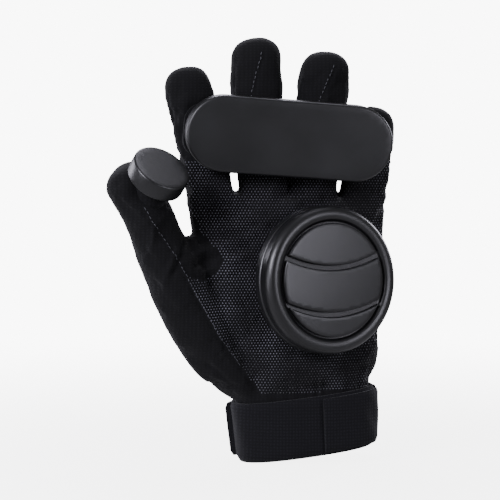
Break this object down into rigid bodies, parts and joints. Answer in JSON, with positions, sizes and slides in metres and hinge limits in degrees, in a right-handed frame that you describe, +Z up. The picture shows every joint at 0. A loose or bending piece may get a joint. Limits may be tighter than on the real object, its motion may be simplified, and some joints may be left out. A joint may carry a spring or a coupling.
{
  "type": "longboard slide glove",
  "caption": "Black left-hand slide glove with padded cloth fingers and thumb, hard pucks on the palm, fingers and thumb, a knuckle guard on the back and a wrap strap at the wrist.",
  "frame": {"origin": "middle of the wrist opening, where the hand goes in", "axes": "+Z up the hand from the wrist to the fingertips, -Y out of the palm side with the pucks, +Y out of the back with the knuckle guard, -X on the thumb side"},
  "size_m": [0.1665, 0.089, 0.2409],
  "materials": {
    "cloth": "matte",
    "grip": "satin",
    "strap": "matte",
    "leather": "satin",
    "guard": "gloss",
    "puck": "satin",
    "hook": "matte",
    "white": "matte",
    "red": "matte",
    "yellow": "matte"
  },
  "bodies": {
    "root": {"palm_panel": "grip", "back_panel": "cloth", "stall_index": "cloth", "stall_middle": "cloth", "stall_ring": "cloth", "stall_little": "cloth", "stall_thumb": "cloth", "wrist_band": "strap", "elastic_strap": "strap", "strap_hem": "strap", "hook_tab": "strap", "palm_hook_pad": "hook", "palm_puck_base": "puck", "palm_puck": "puck", "finger_puck": "puck", "finger_hook_pad_index": "hook", "finger_hook_pad_middle": "hook", "finger_hook_pad_ring": "hook", "finger_hook_pad_little": "hook", "thumb_puck": "puck", "thumb_hook_pad": "hook", "guard_panel": "leather", "knuckle_guard": "guard", "accent_bar_1": "white", "accent_bar_2": "red", "accent_bar_3": "white", "accent_bar_4": "red", "accent_bar_5": "white", "knuckle_arc_index": "white", "knuckle_arc_middle": "white", "knuckle_arc_ring": "white", "knuckle_arc_little": "white", "finger_armor_index": "guard", "tip_plate_index": "leather", "tip_dot_index_1": "yellow", "tip_dot_index_2": "yellow", "tip_dot_index_3": "yellow", "finger_armor_middle": "guard", "tip_plate_middle": "leather", "tip_dot_middle_1": "yellow", "tip_dot_middle_2": "yellow", "tip_dot_middle_3": "yellow", "finger_armor_ring": "guard", "tip_plate_ring": "leather", "tip_dot_ring_1": "yellow", "tip_dot_ring_2": "yellow", "tip_dot_ring_3": "yellow", "finger_armor_little": "guard", "tip_plate_little": "leather", "tip_dot_little_1": "yellow", "tip_dot_little_2": "yellow", "tip_dot_little_3": "yellow"}
  },
  "joints": []
}
